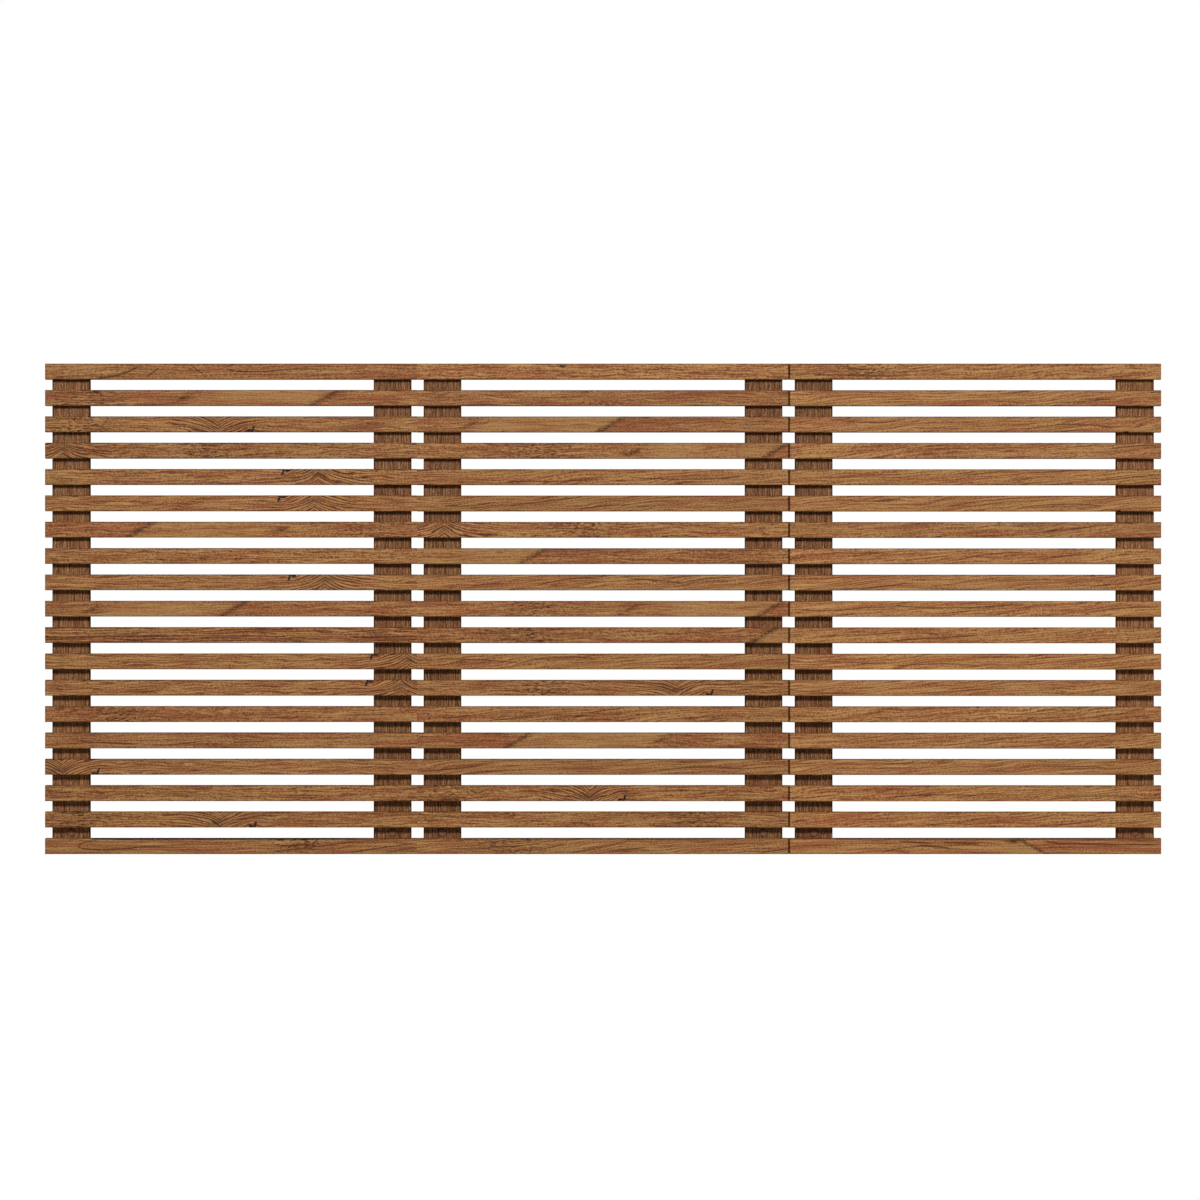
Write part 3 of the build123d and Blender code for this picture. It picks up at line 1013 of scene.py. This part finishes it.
# Zinc plated steel, with its noise in cells per metre
CLOUD_DETAIL = 3.0
FINE_DETAIL = 2.0
FINE_ROUGHNESS = 0.6
CLOUD_EDGE = (0.35, 0.65)
CLOUD_CELLS = (260.0, 260.0, 260.0)
SCREW_SCRATCH_CELLS = (4200.0, 4200.0, 900.0)
PLATE_SCRATCH_CELLS = (4200.0, 300.0, 900.0)
SPANGLE_LIGHT = 1.18
STEEL_ROUGHNESS = dict(cloud=0.14, scratch=0.16, base=0.20)
STEEL_RELIEF = 0.00002


def speckle(place, cells, detail):
    """Noise with a number of cells per metre along, up and in depth."""
    x, y, z = place
    along, up, deep = cells
    return noise(x * along, z * up, y * deep, detail, FINE_ROUGHNESS)


def steel_material(name, tint, scratch_cells):
    """Zinc plated steel with faint cloudy spangles and fine scratches."""
    material, tree, shader, place = new_material(name)
    cloud = speckle(place, CLOUD_CELLS, CLOUD_DETAIL)
    scratch = speckle(place, scratch_cells, FINE_DETAIL)
    pale = tuple(min(1.0, value * SPANGLE_LIGHT) for value in tint[:3]) + (1.0,)
    colour = blend(cloud.rise(*CLOUD_EDGE), tint, pale)
    roughness = (
        cloud * STEEL_ROUGHNESS["cloud"]
        + scratch * STEEL_ROUGHNESS["scratch"]
        + STEEL_ROUGHNESS["base"]
    )
    set_surface(tree, shader, colour, roughness, scratch, STEEL_RELIEF)
    shader.inputs["Metallic"].default_value = 1.0
    return material


# The cover caps: their noise in cells per metre, how far behind the crown the rim is, and how dark the
# painted shade round the rim and the painted shadow of the slat above on the upper half are
SPECK_CELLS = (3400.0, 3400.0, 3400.0)
SWIRL_CELLS = (420.0, 420.0, 420.0)
SWIRL_EDGE = (0.3, 0.7)
CAP_RIM_DROP = 0.0010
CAP_RIM_SHARE = 0.8
CAP_RIM_PAINTED_SHADE = 0.6
CAP_PAINTED_SHADOW_EDGE = (-3.5, 2.0)
CAP_PAINTED_SHADOW = 0.5
CAP_ROUGHNESS = 0.5
CAP_SPECK_ROUGHNESS = 0.2
CAP_SHINE = 0.2
CAP_RELIEF = 0.00006


def cap_material():
    """Red-brown moulded plastic with a fine matt grain, with painted shade round its rim and painted shadow
    towards its top.
    """
    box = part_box("middle_panel_cover_caps")
    material, tree, shader, place = new_material("cap_plastic")
    y, z = place[1:]
    speck = speckle(place, SPECK_CELLS, FINE_DETAIL)
    swirl = speckle(place, SWIRL_CELLS, CLOUD_DETAIL)
    crown = box[0][1]
    rim = (y - crown).rise(CAP_RIM_DROP * CAP_RIM_SHARE, CAP_RIM_DROP)
    above = (z - (box[0][2] + box[1][2]) / 2) * MM
    # Painted shade round the rim, and the slat's painted shadow over the upper half
    bright = (1.0 - rim * CAP_RIM_PAINTED_SHADE) * (1.0 - above.rise(*CAP_PAINTED_SHADOW_EDGE) * CAP_PAINTED_SHADOW)
    colour = shade(blend(swirl.rise(*SWIRL_EDGE), CAP_DARK, CAP_PALE), bright)
    set_surface(tree, shader, colour, speck * CAP_SPECK_ROUGHNESS + CAP_ROUGHNESS, speck, CAP_RELIEF)
    shader.inputs["Specular IOR Level"].default_value = CAP_SHINE
    return material


def slat_nodes(panel):
    """Each slat node of a panel with the rows that it holds."""
    for node in sorted(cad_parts):
        if node.startswith(f"{panel}_slat_") and node[-1].isdigit() or node.startswith(f"{panel}_slats_"):
            yield node, [int(number) - 1 for number in node.split("_")[3:]]


def dress_panels():
    """Gives every piece its finish."""
    screws = steel_material("screw_steel", SCREW_STEEL, SCREW_SCRATCH_CELLS)
    plates = steel_material("plate_steel", PLATE_STEEL, PLATE_SCRATCH_CELLS)
    caps = cap_material()
    for number, panel in enumerate(PANELS):
        for node, rows in slat_nodes(panel):
            dress(node, slat_material(node, panel, rows))
        for turn, side in enumerate(("left", "right")):
            node = f"{panel}_{side}_stile"
            seed = STILE_SEED + STILE_PANEL_SEED_STEP * number + STILE_SEED_STEP * turn
            dress(node, stile_material(node, seed, STILE_LEVELS[panel][turn]))
        dress(f"{panel}_slat_screws", screws)
        dress(f"{panel}_plate_screws", screws)
        dress(f"{panel}_keyhole_plates", plates)
        dress(f"{panel}_cover_caps", caps)


def seen_directly(tree):
    """1 for camera, mirror and glass rays, and 0 for the light that surfaces get."""
    path = tree.nodes.new("ShaderNodeLightPath")
    names = ("Is Camera Ray", "Is Glossy Ray", "Is Transmission Ray")
    camera, mirror, glass = (Field(tree, path.outputs[name]) for name in names)
    return camera.most(mirror).most(glass)


def light_world():
    """A white backdrop that lights the object only softly."""
    world = bpy.data.worlds.new("studio")
    bpy.context.scene.world = world
    world.use_nodes = True
    tree = world.node_tree
    background = tree.nodes["Background"]
    background.inputs["Color"].default_value = WHITE
    strength = seen_directly(tree).from_least(WORLD_LEVEL)
    tree.links.new(strength.socket, background.inputs["Strength"])


def add_lamp(name, place, size, level):
    """A softbox that faces the middle of the headboard, and at level 1 lights it fully on its own."""
    lamp = bpy.data.lights.new(name, "AREA")
    lamp.shape = "RECTANGLE"
    lamp.size, lamp.size_y = size
    offset = Vector(place)
    lamp.energy = level * math.pi ** 2 * offset.length_squared
    holder = bpy.data.objects.new(name, lamp)
    holder.location = centre + offset
    holder.rotation_euler = (-offset).to_track_quat("-Z", "Y").to_euler()
    bpy.context.scene.collection.objects.link(holder)


def add_floor():
    """A pale floor below the headboard. It ends before the camera could see it."""
    left, right = centre.x - FLOOR_WIDTH / 2, centre.x + FLOOR_WIDTH / 2
    level = low_corner[2] - FLOOR_DROP
    corners = [
        (left, -FLOOR_FRONT, level),
        (right, -FLOOR_FRONT, level),
        (right, FLOOR_BACK, level),
        (left, FLOOR_BACK, level),
    ]
    mesh = bpy.data.meshes.new("floor")
    mesh.from_pydata(corners, [], [(0, 1, 2, 3)])
    floor = bpy.data.objects.new("floor", mesh)
    bpy.context.scene.collection.objects.link(floor)
    material, tree, shader, _ = new_material("floor")
    shader.inputs["Base Color"].default_value = FLOOR_COLOUR
    shader.inputs["Roughness"].default_value = FLOOR_ROUGHNESS
    glow = tree.nodes.new("ShaderNodeEmission")
    mix = tree.nodes.new("ShaderNodeMixShader")
    share = seen_directly(tree) * FLOOR_WHITE_SHARE
    tree.links.new(share.socket, mix.inputs[0])
    tree.links.new(shader.outputs[0], mix.inputs[1])
    tree.links.new(glow.outputs[0], mix.inputs[2])
    tree.links.new(mix.outputs[0], tree.nodes["Material Output"].inputs["Surface"])
    mesh.materials.append(material)


def add_camera():
    """A camera that looks straight at the slats' fronts."""
    camera = bpy.data.cameras.new("camera")
    camera.sensor_width = SENSOR_WIDTH
    camera.lens = SENSOR_WIDTH * CAMERA_DISTANCE / IMAGE_SPAN
    holder = bpy.data.objects.new("camera", camera)
    holder.location = (centre.x + CAMERA_ASIDE, low_corner[1] - CAMERA_DISTANCE, centre.z + CAMERA_ABOVE)
    holder.rotation_euler = (math.pi / 2, 0.0, 0.0)
    bpy.context.scene.collection.objects.link(holder)
    bpy.context.scene.camera = holder


dress_panels()
light_world()
add_lamp("key", KEY_PLACE, KEY_SIZE, KEY_LEVEL)
add_lamp("back", BACK_PLACE, BACK_SIZE, BACK_LEVEL)
add_floor()
add_camera()
bpy.context.scene.view_settings.view_transform = "Standard"
